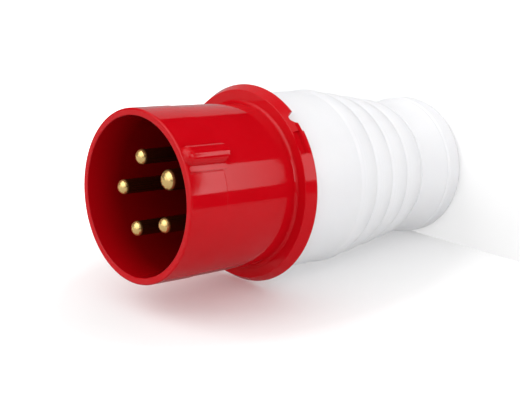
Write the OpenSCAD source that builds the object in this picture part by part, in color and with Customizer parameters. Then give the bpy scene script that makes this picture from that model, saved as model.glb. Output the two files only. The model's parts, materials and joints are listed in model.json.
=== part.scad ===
// Industrial pin and sleeve plug: 16 A, three phases, neutral and earth.
// It stands on the rear face of its gland nut with the pins up. The Z axis is
// the plug's own axis, and the earth pin and the key of the sleeve face -Y.
// All lengths are in millimetres.

/* [Sleeve] */
// Outer radius of the sleeve's front band
sleeve_r = 28.5; // [28:0.1:29.5]
// Wall of the sleeve around its cavity
sleeve_wall = 2.4; // [2:0.1:3]
// Depth of the cavity, from the rim to the floor that holds the pins
cavity_depth = 42; // [40:0.5:46]
// Thickness of the cavity floor
floor_t = 5.5; // [5:0.1:6.5]
// Length of the front band that guides the plug into its socket
band_len = 15; // [10:0.5:20]
// Step down from the front band to the rest of the sleeve
band_step = 0.15; // [0.05:0.05:0.4]
// Radius that the sleeve loses between the band and the flange
sleeve_draft = 0.25; // [0:0.05:0.5]
// Rounding of the rim's edges
rim_round = 0.6; // [0.2:0.1:1]

/* [Key] */
// Angle of the key from the earth pin
key_angle = 2.6; // [0:0.1:5]
// Radius of the key's rounded back
key_r = 3.5; // [3:0.1:4]
// Height of the key over the sleeve
key_h = 2.9; // [2:0.1:3.4]
// Length of the key from the rim
key_len = 17; // [12:0.5:24]
// Rounding of the key's nose
key_nose = 2.6; // [1:0.1:3]
// Plan radius of the key's rear corners
key_corner = 3.4; // [1:0.1:3.5]
// Height of the foot along one side of the key
foot_h = 0.3; // [0.1:0.05:0.5]
// Angle that the foot spans from the middle of the key
foot_span = 10.4; // [9:0.1:12]

/* [Flange] */
// Distance from the rim to the flange's front face
flange_setback = 44.8; // [43:0.1:50]
// Height of the flange's front edge over the sleeve's front band
flange_front_h = 4; // [3:0.1:5]
// Height of the flange's rear edge over the sleeve's front band
flange_rear_h = 6; // [5.4:0.1:7]
// Thickness of the flange
flange_t = 3.8; // [3.6:0.1:6]
// Fillet between the sleeve and the flange
flange_fillet = 1.1; // [0.6:0.1:2]
// Rounding of the flange's edges
flange_edge = 0.3; // [0.2:0.05:0.6]
// Depth of the recess behind the flange that takes the housing's rim
cap_depth = 2.5; // [2:0.1:3]
// Width of the release notch in the flange's rear edge
notch_w = 4.4; // [2.5:0.1:5]
// Depth of the release notch along the axis
notch_depth = 2.3; // [1.5:0.1:2.4]
// Angle of the release notch from the key
notch_angle = 17; // [14:0.5:40]
// Width of the pocket cut in the flange's front edge
pocket_w = 8.2; // [5:0.1:8.4]
// Angle of the pocket from the earth pin
pocket_angle = 1; // [0:0.5:3]
// Depth of the pocket along the axis
pocket_depth = 2.6; // [2:0.1:3]
// Depth of the pocket towards the axis
pocket_inset = 2.1; // [1:0.1:2.4]
// Depth of the flat beside the release notch
flat_inset = 0.9; // [0.3:0.1:1]

/* [Locking skirt] */
// Distance of the skirt inside the outer edge of the housing's front face
skirt_inset = 3; // [2.8:0.1:3.4]
// Wall of the skirt
skirt_wall = 2.1; // [1.6:0.1:2.4]
// Length of the skirt behind the flange's recess
skirt_len = 11.9; // [11:0.1:16]
// Radial height of a bayonet lug
lug_h = 1.2; // [0.8:0.1:1.3]
// Height of a bayonet lug along the axis
lug_len = 3.7; // [3:0.1:4.2]
// Angle that a bayonet lug spans
lug_span = 20; // [12:1:26]
// Number of bayonet lugs
lug_count = 3; // [2:1:3]
// Turn from locked to released
release_turn = 30; // [25:1:36]
// Thickness of the housing's collar over the lugs
collar_t = 5; // [4:0.1:5.4]

/* [Pins] */
// Radius of the circle that the pins stand on
pin_circle_r = 12.6; // [12.3:0.1:13]
// Radius of the phase and neutral pins
pin_r = 2.5; // [2.3:0.1:2.7]
// Radius of the earth pin
earth_pin_r = 3.5; // [3.2:0.1:3.6]
// Distance of the pin tips below the rim
pin_recess = 3.2; // [2.6:0.1:8]
// Height of a tip's dome as a share of the pin's radius
dome = 0.8; // [0.5:0.05:1]
// Step from a pin to its collar
collar_step = 1.2; // [0.8:0.1:1.3]
// Height of a pin's collar
collar_h = 2.5; // [1.5:0.1:3]
// Step from a pin to the thicker seat that fills its hole in the floor
seat_step = 0.3; // [0.1:0.05:0.6]
// Step from a phase pin to its terminal barrel
barrel_step = 1.7; // [1.5:0.1:1.9]
// Step from the earth pin to its terminal barrel
earth_barrel_step = 1.3; // [1.3:0.1:1.4]
// Length of a terminal barrel
barrel_len = 16.4; // [15.5:0.1:18]
// Radius of the wire hole in a terminal barrel
wire_r = 1.75; // [1.4:0.05:1.9]
// Depth of the wire hole
wire_depth = 12; // [11:0.5:13.5]

/* [Terminal screws] */
// Shank radius of a terminal screw
screw_r = 1.9; // [1.5:0.05:2]
// Head radius of a terminal screw
screw_head_r = 2.6; // [2.4:0.1:2.7]
// Head height of a terminal screw
screw_head_h = 2.2; // [1.6:0.1:2.8]
// Distance between a terminal's two screws
screw_pitch = 5.6; // [5.6:0.1:6]
// Distance from a barrel's rear end to its first screw
screw_setback = 3.4; // [3.2:0.1:3.8]

/* [Terminal carrier] */
// Thickness of the carrier's plate
plate_t = 4; // [3:0.1:4.5]
// Wall of the tubes around the terminal barrels
tube_wall = 1.5; // [1.2:0.1:1.6]
// Thickness of the lip that holds a barrel from behind
tube_lip = 1.5; // [1:0.1:2]
// Radius of the hub that joins the tubes
hub_r = 7.6; // [7.4:0.1:8.5]
// Radius of the hole through the hub
hub_hole_r = 3.6; // [2:0.1:4.5]
// Distance of the carrier's screws from the edge of its plate
fixing_edge = 4.4; // [4:0.1:4.8]
// Shank radius of a carrier screw
fixing_r = 1.4; // [1.2:0.1:1.6]
// Head radius of a carrier screw
fixing_head_r = 2.8; // [2.4:0.1:3]
// Head height of a carrier screw
fixing_head_h = 2.4; // [1.8:0.1:3]
// Depth that a carrier screw reaches into the cavity floor
fixing_depth = 4; // [3:0.1:4.2]

/* [Housing] */
// Length of the housing between the gland nut and the housing's front face
housing_len = 66.9; // [64:0.1:74]
// Height of the housing's front face over the sleeve's front band
housing_step = 1.9; // [1.7:0.1:2.5]
// Radius that the housing gains from its front face to its grip rings
grip_swell = 0.6; // [0.1:0.1:1.6]
// Crown of the smooth front part over a straight line
housing_crown = 0.3; // [0:0.1:0.8]
// Length of the smooth front part
shoulder_len = 27.2; // [24:0.1:30]
// Radius that the housing loses over its grip rings
grip_taper = 6; // [4:0.1:7]
// Number of grip rings
ring_count = 4; // [2:1:6]
// Height of a grip ring's crown over the grooves beside it
ring_crown = 1; // [0.2:0.1:1.4]
// Wall of the housing
housing_wall = 2.6; // [2.2:0.1:2.8]
// Thickness of the wall between the wiring space and the gland
seat_t = 3; // [2:0.1:4]
// Radius of the cable hole through that wall
seat_hole_r = 12.5; // [10:0.1:14]

/* [Gland] */
// Length of the gland nut
nut_len = 21.8; // [19:0.1:24]
// Height of the nut's front edge over the end of the housing's grip
nut_step = 0; // [-0.2:0.1:0.6]
// Radius that the nut gains from its front edge to its rear lip
nut_flare = 1.6; // [0.8:0.1:2.6]
// Length of the nut's rear lip
nut_lip = 7.9; // [5:0.1:9]
// Depth of the groove in front of the rear lip
nut_groove = 0.35; // [0.1:0.05:0.6]
// Rounding of the nut's rear edge
nut_round = 2.2; // [1.5:0.1:4.5]
// Thickness of the nut's end wall
nut_end = 8.7; // [8:0.1:10]
// Radius of the nut's cable mouth
mouth_r = 9.8; // [9.5:0.1:10.5]
// Length of the narrow part of the cable mouth
mouth_len = 2.6; // [2:0.1:3]
// Step from the end of the housing's grip down to its threaded spout
spout_step = 3; // [2.7:0.1:3.4]
// Wall of the spout
spout_wall = 2.6; // [2.2:0.1:3]
// Radius of the cable hole in the seal
seal_hole_r = 8.5; // [7:0.1:9]
// Length of the seal
seal_len = 11.5; // [9:0.1:13]
// Bevel on the seal's edges
seal_bevel = 1; // [0.4:0.1:1.5]
// Radius of the hole through the clamp ring
clamp_hole_r = 9.3; // [9.2:0.1:9.4]
// Thickness of the clamp ring's plate
clamp_t = 2.9; // [2.4:0.1:3.4]
// Wall of a clamp finger at its root
finger_wall = 3.2; // [2.6:0.1:3.6]
// Wall of a clamp finger at its tip
finger_tip = 1.4; // [1:0.1:1.6]
// Number of clamp fingers
finger_count = 8; // [4:1:12]
// Width of the slot between clamp fingers
finger_slot = 1.6; // [1:0.1:2.4]
// Width of the ears that keep the clamp ring from turning
ear_w = 4; // [3:0.1:6]
// Radial height of those ears
ear_h = 1.1; // [0.8:0.1:1.2]

/* [Front gasket] */
// Radial thickness of the gasket
gasket_w = 1.5; // [1:0.1:1.6]
// Height of the gasket along the axis
gasket_h = 1.8; // [1.2:0.1:2.4]

/* [Clearances] */
// Gap between pieces that move past each other
gap = 0.3; // [0.15:0.05:0.35]
// Gap around a piece that is seated in another
seat_gap = 0.05; // [0.02:0.01:0.1]

/* [Hidden] */
POLES = ["l1", "l2", "l3", "neutral", "earth"];
$fn = 96;
over = 1;
key_at = -90;
EARTH = 4;

// Heights along the axis, from the nut's rear face up
shoulder_z = nut_len + gap;
housing_top = shoulder_z + housing_len;
cap_z = housing_top + gap;
flange_back_z = cap_z - cap_depth;
flange_z = flange_back_z + flange_t;
rim_z = flange_z + flange_setback;
floor_z = rim_z - cavity_depth;
floor_back_z = floor_z - floor_t;
skirt_end_z = cap_z - skirt_len;
collar_z = housing_top - collar_t;
lug_top_z = collar_z - gap;
lug_end_z = lug_top_z - lug_len;
barrel_end_z = floor_back_z - barrel_len;
plate_z = floor_back_z - plate_t;
tube_end_z = barrel_end_z - tube_lip;
grip_z = housing_top - shoulder_len;
clamp_z = nut_end + gap;
seal_z = clamp_z + clamp_t + gap;
seat_z = seal_z + seal_len;
wiring_z = seat_z + seat_t;

// Radii that follow from their neighbours
cavity_r = sleeve_r - sleeve_wall;
flange_front_r = sleeve_r + flange_front_h;
flange_rear_r = sleeve_r + flange_rear_h;
housing_front_r = sleeve_r + housing_step;
grip_r = housing_front_r + grip_swell;
waist_r = grip_r - grip_taper;
skirt_r = housing_front_r - skirt_inset;
collar_r = skirt_r + gap;
key_side = key_r + 0.1;
lug_r = skirt_r + lug_h;
track_r = lug_r + gap;
inner_r = housing_front_r - housing_wall + 0.4;
spout_r = waist_r - spout_step;
spout_inner_r = spout_r - spout_wall;
nut_front_r = waist_r + nut_step;
nut_r = nut_front_r + nut_flare;
nut_bore_r = spout_r + gap;
plate_r = skirt_r - skirt_wall - gap;
fixing_circle_r = plate_r - fixing_edge;
sleeve_rear_r = sleeve_r - band_step;
sleeve_root_r = sleeve_rear_r - sleeve_draft;
ring_pitch = (grip_z - shoulder_z) / ring_count;

function pole_angle(i) = key_at + 72 * (i + 1);
function radius_of(i) = i == EARTH ? earth_pin_r : pin_r;
function barrel_r(i) = radius_of(i) + (i == EARTH ? earth_barrel_step : barrel_step);
function lug_angle(k) = (k + 0.5) * 360 / lug_count;
function screw_z(k) = barrel_end_z + screw_setback + (k - 1) * screw_pitch;

// Arc that rounds the corner b of the path a, b, c
function unit(v) = v / norm(v);
function xy(p) = [p[0], p[1]];
function corner(a, b, c, r, n = 5) =
    r <= 0 ? [b] :
    let (
        u = unit(a - b),
        w = unit(c - b),
        half = acos(u * w) / 2,
        centre = b + unit(u + w) * r / sin(half),
        s = b + u * r / tan(half) - centre,
        e = b + w * r / tan(half) - centre,
        a0 = atan2(s[1], s[0]),
        sweep = (atan2(e[1], e[0]) - a0 + 540) % 360 - 180
    )
    [for (i = [0:n]) centre + r * [cos(a0 + sweep * i / n), sin(a0 + sweep * i / n)]];

// Outline through the points [x, y, corner radius]
function rounded(pts) =
    let (n = len(pts))
    [for (i = [0:n - 1])
        each corner(xy(pts[(i + n - 1) % n]), xy(pts[i]), xy(pts[(i + 1) % n]), pts[i][2])];

// Ring sector from angle a0 to a1, between two radii and two heights
module sector(r0, r1, z0, z1, a0, a1)
    rotate([0, 0, a0])
        rotate_extrude(angle = a1 - a0)
            translate([r0, z0])
                square([r1 - r0, z1 - z0]);

// Sleeve, its key, flange and locking skirt
module sleeve_body()
    rotate_extrude()
        polygon(rounded([
            [0, floor_back_z, 0],
            [plate_r + gap, floor_back_z, 0],
            [plate_r + gap, skirt_end_z, 0],
            [skirt_r, skirt_end_z, 0.5],
            [skirt_r, cap_z, 0],
            [housing_front_r + gap, cap_z, 0],
            [housing_front_r + gap, flange_back_z, 0],
            [flange_rear_r, flange_back_z, flange_edge],
            [flange_front_r, flange_z, flange_edge],
            [sleeve_root_r + flange_fillet + 0.4, flange_z, 0],
            [sleeve_root_r, flange_z - 0.3, flange_fillet],
            [sleeve_rear_r, rim_z - band_len - band_step, 0],
            [sleeve_r, rim_z - band_len, 0],
            [sleeve_r, rim_z, rim_round],
            [cavity_r, rim_z, rim_round / 2],
            [cavity_r, floor_z, 0],
            [0, floor_z, 0]
        ]));

// Rounded bar with a round nose, cut to a round rear end
module key()
    rotate([0, 0, key_at + key_angle]) {
        intersection() {
            translate([sleeve_r + key_h - key_r, 0, rim_z - 0.2])
                rotate_extrude()
                    polygon(concat(
                        [[0, -key_len - over], [key_r, -key_len - over]],
                        corner([key_r, -key_len], [key_r, 0], [0, 0], key_nose, 6),
                        [[0, 0]]
                    ));
            translate([sleeve_r - over, 0, rim_z])
                rotate([90, 0, 90])
                    linear_extrude(key_h + 2 * over)
                        polygon(concat(
                            [[-key_side, over]],
                            corner([-key_side, 0], [-key_side, -key_len], [0, -key_len], key_corner, 8),
                            corner([0, -key_len], [key_side, -key_len], [key_side, 0], key_corner, 8),
                            [[key_side, over]]
                        ));
        }
        sector(sleeve_r - over, sleeve_r + foot_h, rim_z - key_len + over, rim_z - 2 * rim_round,
               -foot_span, 0);
    }

module flange_cuts() {
    rotate([0, 0, key_at + notch_angle])
        translate([housing_front_r - over, 0, flange_back_z - over])
            rotate([90, 0, 90])
                linear_extrude(flange_rear_r) {
                    translate([-notch_w / 2, 0])
                        square([notch_w, over + notch_depth - notch_w / 2]);
                    translate([0, over + notch_depth - notch_w / 2])
                        circle(notch_w / 2, $fn = 32);
                }
    rotate([0, 0, key_at + pocket_angle])
        translate([flange_rear_r - pocket_inset, -pocket_w / 2, flange_z - pocket_depth])
            cube([pocket_inset + over, pocket_w, pocket_depth + over]);
    sector(flange_rear_r - flat_inset, flange_rear_r + over, flange_back_z - over, flange_z + over,
           key_at + pocket_angle + 6, key_at + notch_angle);
}

module pin_hole(i)
    rotate([0, 0, pole_angle(i)])
        translate([pin_circle_r, 0, floor_back_z]) {
            translate([0, 0, -over])
                cylinder(r = radius_of(i) + collar_step + seat_gap, h = over + collar_h + seat_gap);
            cylinder(r = radius_of(i) + seat_step + seat_gap, h = floor_t + over);
        }

module at_fixings()
    for (a = [0, 144, 216])
        rotate([0, 0, a - key_at])
            translate([fixing_circle_r, 0, 0])
                children();

module sleeve()
    color("crimson")
        difference() {
            union() {
                sleeve_body();
                key();
                for (k = [0:lug_count - 1])
                    let (a = lug_angle(k))
                        sector(skirt_r - over, lug_r, lug_end_z, lug_top_z,
                               a - lug_span / 2, a + lug_span / 2);
            }
            flange_cuts();
            for (i = [0:4])
                pin_hole(i);
            at_fixings()
                translate([0, 0, floor_back_z - over])
                    cylinder(r = fixing_r + seat_gap, h = over + fixing_depth + gap);
        }

module front_gasket()
    color("dimgray")
        translate([0, 0, cap_z - gasket_h])
            difference() {
                cylinder(r = skirt_r + gasket_w, h = gasket_h);
                translate([0, 0, -over])
                    cylinder(r = skirt_r + seat_gap, h = gasket_h + 2 * over);
            }

// Contact pin with its collar and the barrel that clamps the wire
module contact_pin(i) {
    r = radius_of(i);
    b = barrel_r(i);
    tip_z = rim_z - pin_recess;
    color("goldenrod")
        rotate([0, 0, pole_angle(i)])
            translate([pin_circle_r, 0, 0])
                difference() {
                    rotate_extrude()
                        polygon(concat(
                            [[0, barrel_end_z], [b - 0.4, barrel_end_z], [b, barrel_end_z + 0.4]],
                            [[b, floor_back_z - seat_gap], [r + collar_step, floor_back_z - seat_gap]],
                            [[r + collar_step, floor_back_z + collar_h], [r + seat_step, floor_back_z + collar_h]],
                            [[r + seat_step, floor_z], [r, floor_z]],
                            [for (a = [0:15:90]) [r * cos(a), tip_z - r * dome * (1 - sin(a))]]
                        ));
                    translate([0, 0, barrel_end_z - over])
                        cylinder(r = wire_r, h = over + wire_depth);
                    for (k = [1, 2])
                        translate([0, 0, screw_z(k)])
                            rotate([0, 90, 0])
                                cylinder(r = screw_r + seat_gap, h = b + over);
                }
}

// Slotted screw that presses the wire in a terminal barrel
module terminal_screw(i, k)
    color("silver")
        rotate([0, 0, pole_angle(i)])
            translate([pin_circle_r, 0, screw_z(k)])
                rotate([0, 90, 0])
                    difference() {
                        union() {
                            translate([0, 0, wire_r])
                                cylinder(r = screw_r, h = barrel_r(i) - wire_r + over);
                            translate([0, 0, barrel_r(i) + seat_gap])
                                cylinder(r = screw_head_r, h = screw_head_h);
                        }
                        translate([-0.4, -screw_head_r - over, barrel_r(i) + screw_head_h - 1])
                            cube([0.8, 2 * (screw_head_r + over), 2]);
                    }

// Plate and tubes that hold the terminals against the cavity floor
module terminal_carrier()
    color("gainsboro")
        difference() {
            union() {
                translate([0, 0, plate_z])
                    cylinder(r = plate_r, h = plate_t);
                translate([0, 0, tube_end_z + over])
                    cylinder(r = hub_r, h = plate_z - tube_end_z);
                for (i = [0:4])
                    rotate([0, 0, pole_angle(i)])
                        translate([pin_circle_r, 0, tube_end_z])
                            cylinder(r = barrel_r(i) + seat_gap + tube_wall, h = plate_z - tube_end_z + over);
            }
            translate([0, 0, tube_end_z - over])
                cylinder(r = hub_hole_r, h = floor_back_z - tube_end_z + 2 * over);
            for (i = [0:4])
                rotate([0, 0, pole_angle(i)])
                    translate([pin_circle_r, 0, 0]) {
                        translate([0, 0, barrel_end_z])
                            cylinder(r = barrel_r(i) + seat_gap, h = barrel_len + over);
                        translate([0, 0, tube_end_z - over])
                            cylinder(r = wire_r + 1, h = tube_lip + 2 * over);
                        translate([0, -screw_head_r - gap, barrel_end_z + gap])
                            cube([plate_r, 2 * (screw_head_r + gap), plate_z - barrel_end_z - 2 * gap]);
                    }
            at_fixings()
                translate([0, 0, plate_z - over])
                    cylinder(r = fixing_r + seat_gap, h = plate_t + 2 * over);
        }

module carrier_screws()
    color("silver")
        at_fixings()
            difference() {
                union() {
                    translate([0, 0, plate_z - fixing_head_h])
                        cylinder(r = fixing_head_r, h = fixing_head_h);
                    translate([0, 0, plate_z - over])
                        cylinder(r = fixing_r, h = over + plate_t + fixing_depth);
                }
                for (a = [0, 90])
                    rotate([0, 0, a])
                        translate([-1.6, -0.4, plate_z - fixing_head_h - over])
                            cube([3.2, 0.8, over + 1.2]);
            }

// Rear housing: smooth shoulder, grip rings, bayonet collar and threaded spout
function shoulder_line() = [
    for (s = [0:8])
        let (t = s / 9)
        [housing_front_r + (grip_r - housing_front_r) * t + housing_crown * 4 * t * (1 - t),
         housing_top - shoulder_len * t]
];
function ring_line() = [
    for (i = [0:ring_count - 1], s = [0:7])
        let (t = s / 8, along = (i + t) / ring_count)
        [grip_r + (waist_r - grip_r) * along + ring_crown * 4 * t * (1 - t),
         grip_z - (i + t) * ring_pitch]
];

module housing_shell()
    rotate_extrude()
        polygon(concat(
            shoulder_line(),
            ring_line(),
            [
                [waist_r, shoulder_z],
                [spout_r, shoulder_z],
                [spout_r, clamp_z + 0.8],
                [spout_r - 0.8, clamp_z],
                [spout_inner_r, clamp_z],
                [spout_inner_r, seat_z],
                [seat_hole_r, seat_z],
                [seat_hole_r, wiring_z],
                [waist_r - housing_wall, wiring_z],
                [inner_r, grip_z],
                [inner_r, lug_end_z - gap],
                [collar_r, lug_end_z - gap],
                [collar_r, cap_z - gasket_h - gap],
                [skirt_r + gasket_w + gap, cap_z - gasket_h - gap],
                [skirt_r + gasket_w + gap, housing_top]
            ]
        ));

module housing()
    color("whitesmoke")
        difference() {
            housing_shell();
            for (k = [0:lug_count - 1]) {
                a = lug_angle(k);
                sector(collar_r - over, track_r, lug_end_z - 2 * gap, collar_z,
                       a - lug_span / 2 - 0.8, a + release_turn + lug_span / 2 + 0.8);
                sector(collar_r - 2 * over, track_r + 0.1, collar_z - over, housing_top + over,
                       a + release_turn - lug_span / 2 - 0.6, a + release_turn + lug_span / 2 + 0.6);
            }
            for (a = [90, 270])
                rotate([0, 0, a])
                    translate([0, -ear_w / 2 - gap, clamp_z - over])
                        cube([spout_inner_r + ear_h, ear_w + 2 * gap, over + clamp_t + gap]);
        }

// Rubber seal that is squeezed onto the cable
module gland_seal()
    color("dimgray")
        rotate_extrude()
            polygon([
                [seal_hole_r, seal_z],
                [spout_inner_r - seat_gap - seal_bevel, seal_z],
                [spout_inner_r - seat_gap, seal_z + seal_bevel],
                [spout_inner_r - seat_gap, seat_z - seal_bevel],
                [spout_inner_r - seat_gap - seal_bevel, seat_z],
                [seal_hole_r, seat_z]
            ]);

// Ring that presses the seal, with the fingers that grip the cable
module clamp_ring() {
    finger_end_z = mouth_len + gap;
    color("gainsboro")
        difference() {
            union() {
                rotate_extrude()
                    polygon([
                        [clamp_hole_r, finger_end_z],
                        [clamp_hole_r + finger_tip, finger_end_z],
                        [clamp_hole_r + finger_wall, clamp_z],
                        [spout_inner_r - gap, clamp_z],
                        [spout_inner_r - gap, clamp_z + clamp_t],
                        [clamp_hole_r, clamp_z + clamp_t]
                    ]);
                for (a = [90, 270])
                    rotate([0, 0, a])
                        translate([spout_inner_r - gap - over, -ear_w / 2, clamp_z])
                            cube([ear_h + over, ear_w, clamp_t]);
            }
            for (a = [0:finger_count - 1])
                rotate([0, 0, (a + 0.5) * 360 / finger_count])
                    translate([0, -finger_slot / 2, finger_end_z - over])
                        cube([spout_inner_r, finger_slot, clamp_z - gap - finger_end_z + over]);
        }
}

// Gland nut: flared outside, threaded inside, with a cone around the fingers
function flare_line() = [
    for (s = [1:8])
        let (t = s / 8)
        [nut_front_r + (nut_r - nut_groove - nut_front_r) * t * t,
         nut_len - 1 - (nut_len - 1.8 - nut_lip) * t]
];

module gland_nut()
    color("whitesmoke")
        rotate_extrude()
            polygon(concat(
                [
                    [mouth_r + 1.6, 0],
                    [mouth_r, 1.2],
                    [mouth_r, mouth_len],
                    [clamp_hole_r + finger_tip + gap, mouth_len],
                    [clamp_hole_r + finger_wall + gap, nut_end],
                    [nut_bore_r, nut_end],
                    [nut_bore_r, nut_len],
                    [nut_front_r - 0.3, nut_len],
                    [nut_front_r, nut_len - 0.3]
                ],
                flare_line(),
                [[nut_r - nut_groove, nut_lip]],
                corner([nut_r, nut_lip], [nut_r, nut_lip - 0.8], [nut_r, 0], 0),
                corner([nut_r, nut_lip - 0.8], [nut_r, 0], [0, 0], nut_round, 8)
            ));

sleeve();
front_gasket();
terminal_carrier();
carrier_screws();
for (i = [0:4]) {
    contact_pin(i);
    for (k = [1, 2])
        terminal_screw(i, k);
}
housing();
gland_seal();
clamp_ring();
gland_nut();
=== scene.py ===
"""Looks of the industrial pin and sleeve plug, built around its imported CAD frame.

The plug stands on its gland nut with its pins up. In the photo it lies on a table,
so the camera is turned instead, and a pale sheet stands in for that table.
"""
import json
import math

import bmesh
import bpy
from mathutils import Matrix, Vector


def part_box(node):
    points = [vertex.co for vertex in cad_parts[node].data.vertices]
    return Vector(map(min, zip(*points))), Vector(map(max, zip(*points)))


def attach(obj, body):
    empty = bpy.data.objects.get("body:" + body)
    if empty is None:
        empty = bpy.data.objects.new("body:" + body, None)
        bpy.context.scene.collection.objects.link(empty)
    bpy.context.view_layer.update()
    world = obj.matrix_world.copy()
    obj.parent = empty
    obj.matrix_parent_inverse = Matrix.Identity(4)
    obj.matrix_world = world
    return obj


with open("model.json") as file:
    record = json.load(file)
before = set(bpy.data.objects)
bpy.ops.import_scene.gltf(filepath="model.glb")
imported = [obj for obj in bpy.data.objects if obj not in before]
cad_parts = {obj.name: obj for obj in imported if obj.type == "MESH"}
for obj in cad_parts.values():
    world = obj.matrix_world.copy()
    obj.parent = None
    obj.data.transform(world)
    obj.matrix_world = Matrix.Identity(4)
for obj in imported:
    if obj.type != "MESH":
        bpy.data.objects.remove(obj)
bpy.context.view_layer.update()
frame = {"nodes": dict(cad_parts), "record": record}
NODES = frame["nodes"]
RECORD = frame["record"]
MM = 0.001
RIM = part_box("sleeve")[1].z
WHITE = (1, 1, 1, 1)


def link(name, data):
    """New object in the scene."""
    obj = bpy.data.objects.new(name, data)
    bpy.context.scene.collection.objects.link(obj)
    return obj


# ---------------------------------------------------------------- camera
# The photo's camera, fitted to the plug's outlines, in the plug's own frame
LENS_MM, SENSOR_MM = 78.3, 36.0
CAM_AT = Vector((-93.089, -278.053, 349.158)) * MM
CAM_TURN = Matrix(((-0.329333, 0.919954, -0.212660),
                   (-0.596522, -0.377301, -0.708382),
                   (-0.731916, -0.106438, 0.673031)))
# The photo's right, its up, and the way towards the camera
RIGHT, UP, NEAR = (CAM_TURN @ Vector(v) for v in ((1, 0, 0), (0, 1, 0), (0, 0, 1)))


def make_camera():
    cam = bpy.data.cameras.new("camera")
    cam.lens, cam.sensor_width, cam.sensor_fit = LENS_MM, SENSOR_MM, "HORIZONTAL"
    cam.clip_start, cam.clip_end = 0.01, 20.0
    obj = link("camera", cam)
    obj.matrix_world = Matrix.Translation(CAM_AT) @ CAM_TURN.to_4x4()
    bpy.context.scene.camera = obj


make_camera()


# ---------------------------------------------------------------- material tools
def new_material(name):
    mat = bpy.data.materials.new(name)
    mat.use_nodes = True
    nt = mat.node_tree
    return mat, nt, nt.nodes["Principled BSDF"]


def put(nt, node, key, value):
    """Sets an input to a value, or links it from a socket."""
    socket = node.inputs[key]
    if isinstance(value, bpy.types.NodeSocket):
        nt.links.new(value, socket)
    else:
        socket.default_value = value


def add(nt, kind, inputs=None, **settings):
    """Node of a kind, with its settings, and its inputs by name or number."""
    node = nt.nodes.new("ShaderNode" + kind)
    for key, value in settings.items():
        setattr(node, key, value)
    for key, value in (inputs or {}).items():
        put(nt, node, key, value)
    return node


def place(nt):
    """Position in the object's own frame, in metres."""
    return add(nt, "TexCoord").outputs["Object"]


def noise(nt, where, scale, detail):
    return add(nt, "TexNoise", {"Vector": where, "Scale": scale, "Detail": detail}).outputs["Fac"]


def distance(nt, where):
    """How far a position is from the middle of its frame."""
    return add(nt, "VectorMath", {0: where}, operation="LENGTH").outputs["Value"]


def spread(nt, value, lo, hi, a=0.3, b=0.7):
    """value from a..b spread over lo..hi"""
    return add(nt, "MapRange", {"Value": value, "From Min": a, "From Max": b,
                                "To Min": lo, "To Max": hi}).outputs["Result"]


def blend_colour(nt, value, one, two):
    """From one colour at 0.3 to the other at 0.7"""
    ramp = add(nt, "ValToRGB", {"Fac": value})
    for stop, at, colour in zip(ramp.color_ramp.elements, (0.3, 0.7), (one, two)):
        stop.position = at
        stop.color = (*colour, 1)
    return ramp.outputs["Color"]


def tinted(nt, share, colour, tint):
    """colour where share is 0, the tint where it is 1"""
    factor, first, second = 0, 6, 7
    mix = add(nt, "Mix", data_type="RGBA")
    put(nt, mix, factor, share)
    put(nt, mix, first, colour)
    put(nt, mix, second, (*tint, 1))
    return mix.outputs[2]


def mixed(nt, flag, no, yes):
    """One shader where a light path or geometry flag is 0, the other where it is 1."""
    return add(nt, "MixShader", {"Fac": flag, 1: no, 2: yes}).outputs[0]


def bump(nt, shader, heights, strength):
    """Stacks heights as (value, depth in metres) into the shader's normal."""
    last = {}
    for value, depth in heights:
        node = add(nt, "Bump", {"Strength": strength, "Distance": depth, "Height": value, **last})
        last = {"Normal": node.outputs["Normal"]}
    put(nt, shader, "Normal", last["Normal"])


# ---------------------------------------------------------------- materials
def finish(nt, shader, at, colours, gloss, grain, strength, fixed):
    """Colour, roughness and bump that vary with noise. Returns the colour.

    colours: noise scale and detail, and the two colours
    gloss: noise scale, and the least and greatest roughness
    grain: for each layer of bump, its depth in metres after a noise scale and detail, or after a value
    fixed: shader inputs that are the same all over
    """
    scale, detail, one, two = colours
    skin = blend_colour(nt, noise(nt, at, scale, detail), one, two)
    put(nt, shader, "Base Color", skin)
    scale, least, most = gloss
    put(nt, shader, "Roughness", spread(nt, noise(nt, at, scale, 4), least, most))
    for key, value in fixed.items():
        put(nt, shader, key, value)
    bump(nt, shader, [(noise(nt, at, *layer[:-1]) if len(layer) == 3 else layer[0], layer[-1])
                      for layer in grain], strength)
    return skin


def plain(name, *look):
    mat, nt, shader = new_material(name)
    finish(nt, shader, place(nt), *look)
    return mat


def red_plastic():
    """Glossy red, with painted shade deep inside the sleeve's cavity."""
    cavity_r, cavity_step = 0.0266, 0.0003
    dark_from, dark_to, dark_share = 0.001, 0.014, 0.3
    mat, nt, shader = new_material("red_nylon")
    at = place(nt)
    skin = finish(nt, shader, at, (60, 2, (0.52, 0.0013, 0.005), (0.56, 0.0019, 0.007)), (380, 0.05, 0.10),
                  [(90, 2, 0.00012), (1500, 3, 0.00001)], 0.25, {"Specular IOR Level": 0.3})
    # Painted shade: inside the bore the colour darkens from just under the rim towards the cavity's floor
    part = add(nt, "SeparateXYZ", {"Vector": at}).outputs
    deep = spread(nt, part["Z"], dark_share, 1, RIM - dark_from, RIM - dark_to)
    radius = distance(nt, add(nt, "CombineXYZ", {"X": part["X"], "Y": part["Y"]}).outputs[0])
    inside = spread(nt, radius, 1, 0, cavity_r - cavity_step, cavity_r)
    cavity_shade = add(nt, "Math", {0: deep, 1: inside}, operation="MULTIPLY").outputs[0]
    put(nt, shader, "Base Color", tinted(nt, cavity_shade, skin, (0.22, 0.0006, 0.0015)))
    return mat


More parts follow.
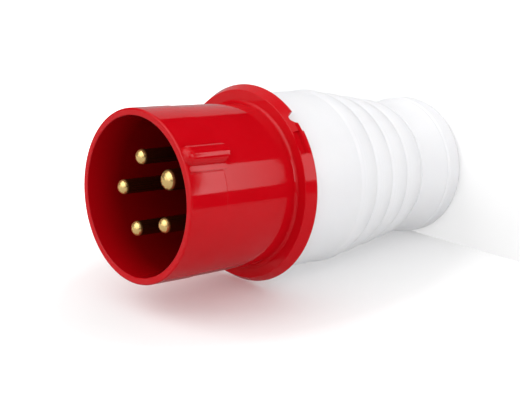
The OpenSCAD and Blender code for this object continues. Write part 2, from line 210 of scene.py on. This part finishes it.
def brass(node):
    """Turned brass: fine tool rings about the pin's own axis, and painted shade that darkens the pin below its
    dome.
    """
    dome, shade_end = 0.0011, 0.0022
    lo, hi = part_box(node)
    mat, nt, shader = new_material("brass_" + node)
    middle = ((lo.x + hi.x) / 2, (lo.y + hi.y) / 2, 0)
    local = add(nt, "VectorMath", {0: place(nt), 1: middle}, operation="SUBTRACT").outputs["Vector"]
    rings = add(nt, "TexWave", {"Vector": local, "Scale": 900, "Distortion": 0.4},
                wave_type="BANDS", bands_direction="Z").outputs["Fac"]
    skin = finish(nt, shader, local, (240, 4, (0.92, 0.60, 0.20), (0.98, 0.70, 0.28)), (900, 0.14, 0.26),
                  [(rings, 0.000006), (700, 3, 0.00002)], 0.35, {"Metallic": 0.8})
    # Painted shade: the colour darkens on the pin below its dome
    height = add(nt, "SeparateXYZ", {"Vector": local}).outputs["Z"]
    below = spread(nt, height, 1, 0, hi.z - shade_end, hi.z - dome)
    put(nt, shader, "Base Color", tinted(nt, below, skin, (0.09, 0.018, 0.004)))
    return mat


MATERIALS = {
    "red_plastic": red_plastic(),
    "white_plastic": plain(
        "white_nylon", (45, 3, (0.845, 0.845, 0.865), (0.875, 0.875, 0.89)), (500, 0.34, 0.46),
        [(120, 2, 0.00008), (3500, 3, 0.000012)], 0.3,
        {"Specular IOR Level": 0.35, "Subsurface Weight": 0.12, "Subsurface Scale": 1.0,
         "Subsurface Radius": (0.0016, 0.0014, 0.0012)}),
    "grey_plastic": plain(
        "grey_nylon", (90, 4, (0.50, 0.50, 0.51), (0.57, 0.57, 0.58)), (600, 0.45, 0.62),
        [(2600, 4, 0.00002)], 0.5, {}),
    "black_rubber": plain(
        "black_rubber", (150, 5, (0.018, 0.018, 0.019), (0.035, 0.035, 0.036)), (700, 0.62, 0.85),
        [(1800, 5, 0.00004)], 0.6, {"Specular IOR Level": 0.35}),
    "zinc_steel": plain(
        "zinc_steel", (500, 5, (0.60, 0.61, 0.64), (0.74, 0.74, 0.74)), (1200, 0.24, 0.42),
        [(2500, 4, 0.00001)], 0.4, {"Metallic": 1.0}),
}
SLOT_OF = {row["node"]: row["material_slot"] for row in RECORD["subparts"]}
for name, obj in NODES.items():
    slot = SLOT_OF[name]
    mat = brass(name) if slot == "brass" else MATERIALS[slot]
    obj.data.materials.clear()
    obj.data.materials.append(mat)


# ---------------------------------------------------------------- pieces
def mesh_piece(name, verts, faces, slot, body):
    mesh = bpy.data.meshes.new(name)
    mesh.from_pydata(verts, [], faces)
    bm = bmesh.new()
    bm.from_mesh(mesh)
    bmesh.ops.recalc_face_normals(bm, faces=bm.faces)
    bm.to_mesh(mesh)
    bm.free()
    for p in mesh.polygons:
        p.use_smooth = True
    mesh.materials.append(MATERIALS[slot])
    obj = link(name, mesh)
    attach(obj, body)


def ridge(name, path, width, height, slot, body):
    """Low ridge of rounded section along a path in mm, standing out from the plug's axis.

    It rises from nothing over the first two points and sinks over the last two.
    """
    steps, sunk = 6, 0.02
    row, last = steps + 1, len(path) - 1
    verts, faces = [], []
    for i, point in enumerate(path):
        ahead = path[min(i + 1, last)] - path[max(i - 1, 0)]
        out = Vector((point.x, point.y, 0)).normalized()
        side = ahead.cross(out).normalized()
        rise = height * min(1.0, 0.5 * min(i, last - i) + 0.05)
        for k in range(row):
            t = math.pi * k / steps
            verts.append((point + side * (width / 2 * math.cos(t)) + out * (rise * math.sin(t) - sunk)) * MM)
    for i in range(last):
        near, far = i * row, (i + 1) * row
        faces += [(near + k, near + k + 1, far + k + 1, far + k) for k in range(steps)]
        faces.append((near, far, far + steps, near + steps))
    faces.append(tuple(range(row)))
    faces.append(tuple(range(last * row + steps, last * row - 1, -1)))
    mesh_piece(name, verts, faces, slot, body)


def span(a, b, n):
    return [a + (b - a) * i / (n - 1) for i in range(n)]


# The sleeve's outside in mm: its front band, and behind it a slight taper towards the flange
BAND_R, BAND_END = 28.5, 14.8
TAPER_R, TAPER_FROM, TAPER_SLOPE = 28.35, 15, 0.5 / 30
EARTH_AT = math.radians(-90)


def on_sleeve(angle, depth):
    """Point of the sleeve's outside, by its angle from the earth pin and its depth from the rim in mm."""
    r = BAND_R if depth < BAND_END else TAPER_R - TAPER_SLOPE * (depth - TAPER_FROM)
    t = EARTH_AT + math.radians(angle)
    return Vector((r * math.cos(t), r * math.sin(t), RIM / MM - depth))


# Mould marks that the photo shows on the sleeve, beside the key
ridge("mould_line", [on_sleeve(32, d) for d in span(18.7, 37.5, 24)], 0.22, 0.06, "red_plastic", "front")
ridge("band_line", [on_sleeve(-a, 14.7) for a in span(8.5, 36, 24)], 0.3, 0.07, "red_plastic", "front")
ridge("foot_line", [on_sleeve(-8.6, d) for d in span(1.2, 14.9, 20)], 0.35, 0.12, "red_plastic", "front")


def helix(r, z0, z1, pitch, n):
    turns = (z1 - z0) / pitch
    return [Vector((r * math.cos(2 * math.pi * t), r * math.sin(2 * math.pi * t), z0 + pitch * t))
            for t in span(0, turns, n)]


# Screw thread on the housing's spout, inside the nut's clearance
ridge("spout_thread", helix(22.0, 9.0, 20.6, 3.0, 380), 1.1, 0.24, "white_plastic", "housing")


# ---------------------------------------------------------------- stage
MID = Vector((0, 0, 75)) * MM
# How far lamps and square cards stand from the plug's middle, and the lamps' size, in metres
STUDIO_R, LAMP_SIZE = 1.1, 0.9
# The photo's table: the way it faces, the plug's axis along it, and how far it is from that axis
SIDE = 0.957 * UP + 0.289 * NEAR
ALONG = (Vector((0, 0, 1)) - SIDE.z * SIDE).normalized()
TABLE = Matrix((ALONG, SIDE.cross(ALONG), SIDE)).transposed()
TABLE_GAP = 26.45 * MM


def ground(name, shift, turn, glow, far_glow, shades=True):
    """Pale ground that keeps the shadow, with a white glow for the camera that grows away from the middle:
    painted light that washes the shadow out further from the plug.

    Reflections see it dim. It shows from its lit side only, so that it hides nothing.
    """
    pale, dim = (0.88, 0.88, 0.88, 1), (0.4, 0.4, 0.4, 1)
    squash, glow_near, glow_end = (0.6, 1, 1), 0.05, 0.12
    mesh = bpy.data.meshes.new(name)
    bm = bmesh.new()
    bmesh.ops.create_circle(bm, cap_ends=True, radius=4.0, segments=96)
    bm.to_mesh(mesh)
    bm.free()
    obj = link(name, mesh)
    obj.matrix_world = Matrix.Translation(shift) @ turn.to_4x4()
    mat, nt, shader = new_material(name)
    for key, value in (("Base Color", pale), ("Roughness", 0.8), ("Specular IOR Level", 0.1)):
        put(nt, shader, key, value)
    oval = add(nt, "VectorMath", {0: place(nt), 1: squash}, operation="MULTIPLY").outputs[0]
    # Painted light: the camera's glow is weak near the middle and strong away from it, so the shadow fades out
    # further from the plug
    strength = spread(nt, distance(nt, oval), glow, far_glow, glow_near, glow_end)
    light = add(nt, "Emission", {"Strength": strength}).outputs[0]
    lit = shader.outputs[0]
    glowing = add(nt, "AddShader", {0: lit, 1: light}).outputs[0]
    path = add(nt, "LightPath").outputs
    front = mixed(nt, path["Is Glossy Ray"], lit, add(nt, "BsdfDiffuse", {"Color": dim}).outputs[0])
    front = mixed(nt, path["Is Camera Ray"], front, glowing)
    back = add(nt, "NewGeometry").outputs["Backfacing"]
    put(nt, nt.nodes["Material Output"], "Surface",
        mixed(nt, back, front, add(nt, "BsdfTransparent").outputs[0]))
    mesh.materials.append(mat)
    obj.visible_diffuse = obj.visible_shadow = shades


def card(name, corners, strength, near=None):
    """Flat glowing card, or dark flag when its strength is 0, that only reflections see: a painted reflection,
    not a lamp. It can fade towards the plug's axis.
    """
    fade_near, fade_end = 0.12, 0.18
    mesh = bpy.data.meshes.new(name)
    mesh.from_pydata([Vector(c) * MM for c in corners], [], [list(range(len(corners)))])
    mat, nt, shader = new_material(name)
    nt.nodes.remove(shader)
    if near is not None:
        strength = spread(nt, distance(nt, place(nt)), near, strength, fade_near, fade_end)
    light = add(nt, "Emission", {"Color": WHITE, "Strength": strength})
    put(nt, nt.nodes["Material Output"], "Surface", light.outputs[0])
    mesh.materials.append(mat)
    obj = link(name, mesh)
    obj.visible_camera = obj.visible_diffuse = obj.visible_shadow = obj.visible_transmission = False


def facing_turn(spot):
    """Turn that faces the plug's middle."""
    return (MID - spot).to_track_quat("-Z", "Y")


def facing_card(name, way, size, strength):
    """Square card that faces the plug's middle from that way."""
    spot = MID + STUDIO_R * way
    half = size / 2
    turn = facing_turn(spot)
    corners = [spot + turn @ Vector((x * half, y * half, 0)) for x, y in ((-1, -1), (1, -1), (1, 1), (-1, 1))]
    card(name, [c / MM for c in corners], strength)


def lamp(name, way, watts):
    """Soft lamp that faces the plug's middle from that way. Reflections don't see it."""
    light = bpy.data.lights.new(name, "AREA")
    light.shape, light.size, light.size_y = "RECTANGLE", LAMP_SIZE, LAMP_SIZE
    light.energy = watts
    obj = link(name, light)
    obj.location = MID + STUDIO_R * way
    obj.rotation_mode = "QUATERNION"
    obj.rotation_quaternion = facing_turn(obj.location)
    obj.visible_camera = obj.visible_glossy = False


def make_world(under, level, low, high):
    """Soft light: level from above the table, under from below it, and white for the camera.

    Reflections see it low, but for one side that is high.
    """
    bright_side = -0.45 * RIGHT + 0.55 * NEAR + 0.45 * UP
    world = bpy.data.worlds.new("studio")
    world.use_nodes = True
    nt = world.node_tree
    way = add(nt, "TexCoord").outputs["Generated"]
    lights = []
    for axis, lo, hi, a, b in ((SIDE, under, level, -0.7, 0.1), (bright_side, low, high, 0.58, 0.8)):
        toward = add(nt, "VectorMath", {0: way, 1: axis.normalized()}, operation="DOT_PRODUCT").outputs["Value"]
        strength = spread(nt, toward, lo, hi, a, b)
        lights.append(add(nt, "Background", {"Color": WHITE, "Strength": strength}).outputs[0])
    path = add(nt, "LightPath").outputs
    seen = mixed(nt, path["Is Glossy Ray"], *lights)
    white = add(nt, "Background", {"Color": WHITE, "Strength": 1.0}).outputs[0]
    put(nt, nt.nodes["World Output"], "Surface", mixed(nt, path["Is Camera Ray"], seen, white))
    bpy.context.scene.world = world


def sector_points(r0, r1, a0, a1, z, n=12):
    turns = [math.radians(a0 + (a1 - a0) * i / n) for i in range(n + 1)]
    return ([(r0 * math.cos(t), r0 * math.sin(t), z) for t in turns]
            + [(r1 * math.cos(t), r1 * math.sin(t), z) for t in reversed(turns)])


ground("floor", Vector((0, 0, -0.02)) * MM, Matrix.Identity(3), 0.15, 0.62)
ground("table", MID - (MID.dot(SIDE) + TABLE_GAP) * SIDE, TABLE, 0.08, 0.6, shades=False)
make_world(under=0.36, level=0.82, low=0.03, high=1.2)

lamp("front_light", NEAR, 3.4)
lamp("left_light", -0.8 * RIGHT + 0.1 * NEAR + 0.6 * SIDE, 5.0)
lamp("right_light", 0.8 * RIGHT + 0.3 * NEAR + 0.5 * SIDE, 6.4)
# Painted highlights: cards that only reflections see, over the plug's top and on the pins
facing_card("top_card", 0.85 * SIDE - 0.15 * RIGHT + 0.35 * NEAR, 0.9, 0.8)
facing_card("pin_card", -0.45 * RIGHT + 0.55 * NEAR + 0.45 * UP, 0.8, 2.0)

# What the sleeve's side and the flange's edge mirror, in mm: painted reflections of a dark flag over the floor
# with a bright strip, and of a bright band
card("dark_flag", sector_points(105, 300, -132, -5, 2), 0.0)
card("strip_card", [(14.6, -124.7, 2.9), (25.8, -188.7, 2.9), (-82, -172.7, 2.9), (-53.5, -114.3, 2.9)],
     3.6, near=1.0)
card("band_card", [(10, -378, 80), (-152, -346, 80), (-152, -346, 215), (10, -378, 215)], 2.6)

scene = bpy.context.scene
scene.view_settings.view_transform = "Standard"
